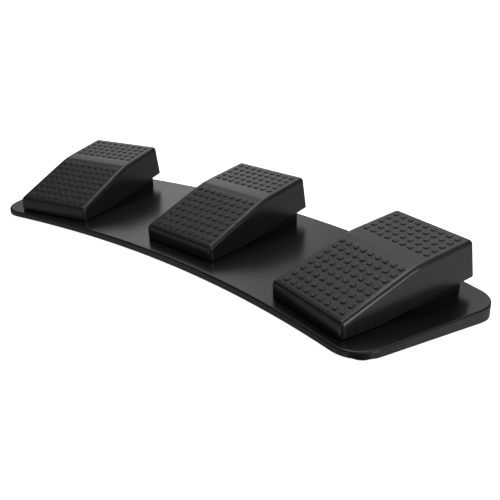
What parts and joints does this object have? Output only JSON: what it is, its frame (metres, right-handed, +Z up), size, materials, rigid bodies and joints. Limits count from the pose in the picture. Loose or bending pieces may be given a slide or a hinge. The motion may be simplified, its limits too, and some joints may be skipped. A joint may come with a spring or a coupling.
{
  "type": "foot pedal switch",
  "caption": "Foot switch with hinged, studded treadles fanned out on a low curved wedge deck; each treadle presses a sprung snap switch.",
  "frame": {"origin": "on the floor, under the centre of the object's box", "axes": "+X along the row of pedals to the right, +Y from heel to toe, +Z up"},
  "size_m": [0.3902, 0.1398, 0.0455],
  "materials": {
    "deck_plastic": "satin gloss",
    "cap_plastic": "fine grain",
    "housing_plastic": "matte",
    "black_rubber": "matte",
    "plate_steel": "zinc plated",
    "screw_steel": "zinc plated",
    "pin_steel": "ground",
    "spring_steel": "bright drawn",
    "board_laminate": "solder mask",
    "chip_resin": "moulded",
    "header_nylon": "moulded",
    "switch_resin": "moulded",
    "plunger_plastic": "moulded",
    "lead_jacket": "satin jacket"
  },
  "bodies": {
    "base": {"deck_cover": "deck_plastic", "bottom_plate": "plate_steel", "rubber_feet": "black_rubber", "plate_screws": "screw_steel", "inlet_grommet": "black_rubber", "controller_board": "board_laminate", "controller_chip": "chip_resin", "lead_headers": "header_nylon", "board_screws": "screw_steel", "left_pedal_housing": "housing_plastic", "left_hinge_pin": "pin_steel", "left_return_spring": "spring_steel", "left_switch_body": "switch_resin", "left_switch_screws": "screw_steel", "left_stop_pad": "black_rubber", "left_housing_screws": "screw_steel", "left_switch_lead": "lead_jacket", "middle_pedal_housing": "housing_plastic", "middle_hinge_pin": "pin_steel", "middle_return_spring": "spring_steel", "middle_switch_body": "switch_resin", "middle_switch_screws": "screw_steel", "middle_stop_pad": "black_rubber", "middle_housing_screws": "screw_steel", "middle_switch_lead": "lead_jacket", "right_pedal_housing": "housing_plastic", "right_hinge_pin": "pin_steel", "right_return_spring": "spring_steel", "right_switch_body": "switch_resin", "right_switch_screws": "screw_steel", "right_stop_pad": "black_rubber", "right_housing_screws": "screw_steel", "right_switch_lead": "lead_jacket"},
    "left_pedal": {"left_pedal_cap": "cap_plastic"},
    "left_plunger": {"left_switch_plunger": "plunger_plastic"},
    "middle_pedal": {"middle_pedal_cap": "cap_plastic"},
    "middle_plunger": {"middle_switch_plunger": "plunger_plastic"},
    "right_pedal": {"right_pedal_cap": "cap_plastic"},
    "right_plunger": {"right_switch_plunger": "plunger_plastic"}
  },
  "joints": [
    {"name": "left_pedal_hinge", "type": "hinge", "parent": "base", "child": "left_pedal", "pos_m": [-0.12927, -0.03087, 0.01395], "axis": [-0.9685, -0.2485, -0.0129], "range_deg": [0, 6], "stiffness_Nm_per_rad": 3, "springref_deg": -7.45, "deforming": ["left_return_spring"]},
    {"name": "left_plunger_slide", "type": "slide", "parent": "base", "child": "left_plunger", "axis": [0, 0.052, -0.9986], "range_m": [0, 0.0025]},
    {"name": "middle_pedal_hinge", "type": "hinge", "parent": "base", "child": "middle_pedal", "pos_m": [0, -0.01228, 0.01491], "axis": [-1, 0, 0], "range_deg": [0, 6], "stiffness_Nm_per_rad": 3, "springref_deg": -7.45, "deforming": ["middle_return_spring"]},
    {"name": "middle_plunger_slide", "type": "slide", "parent": "base", "child": "middle_plunger", "axis": [0, 0.052, -0.9986], "range_m": [0, 0.0025]},
    {"name": "right_pedal_hinge", "type": "hinge", "parent": "base", "child": "right_pedal", "pos_m": [0.12927, -0.03087, 0.01395], "axis": [-0.9685, 0.2485, 0.0129], "range_deg": [0, 6], "stiffness_Nm_per_rad": 3, "springref_deg": -7.45, "deforming": ["right_return_spring"]},
    {"name": "right_plunger_slide", "type": "slide", "parent": "base", "child": "right_plunger", "axis": [0, 0.052, -0.9986], "range_m": [0, 0.0025]}
  ],
  "couplings": [
    {"joint": "left_plunger_slide", "follows": "left_pedal_hinge", "m_per_rad": 0.022918},
    {"joint": "middle_plunger_slide", "follows": "middle_pedal_hinge", "m_per_rad": 0.022918},
    {"joint": "right_plunger_slide", "follows": "right_pedal_hinge", "m_per_rad": 0.022918}
  ]
}
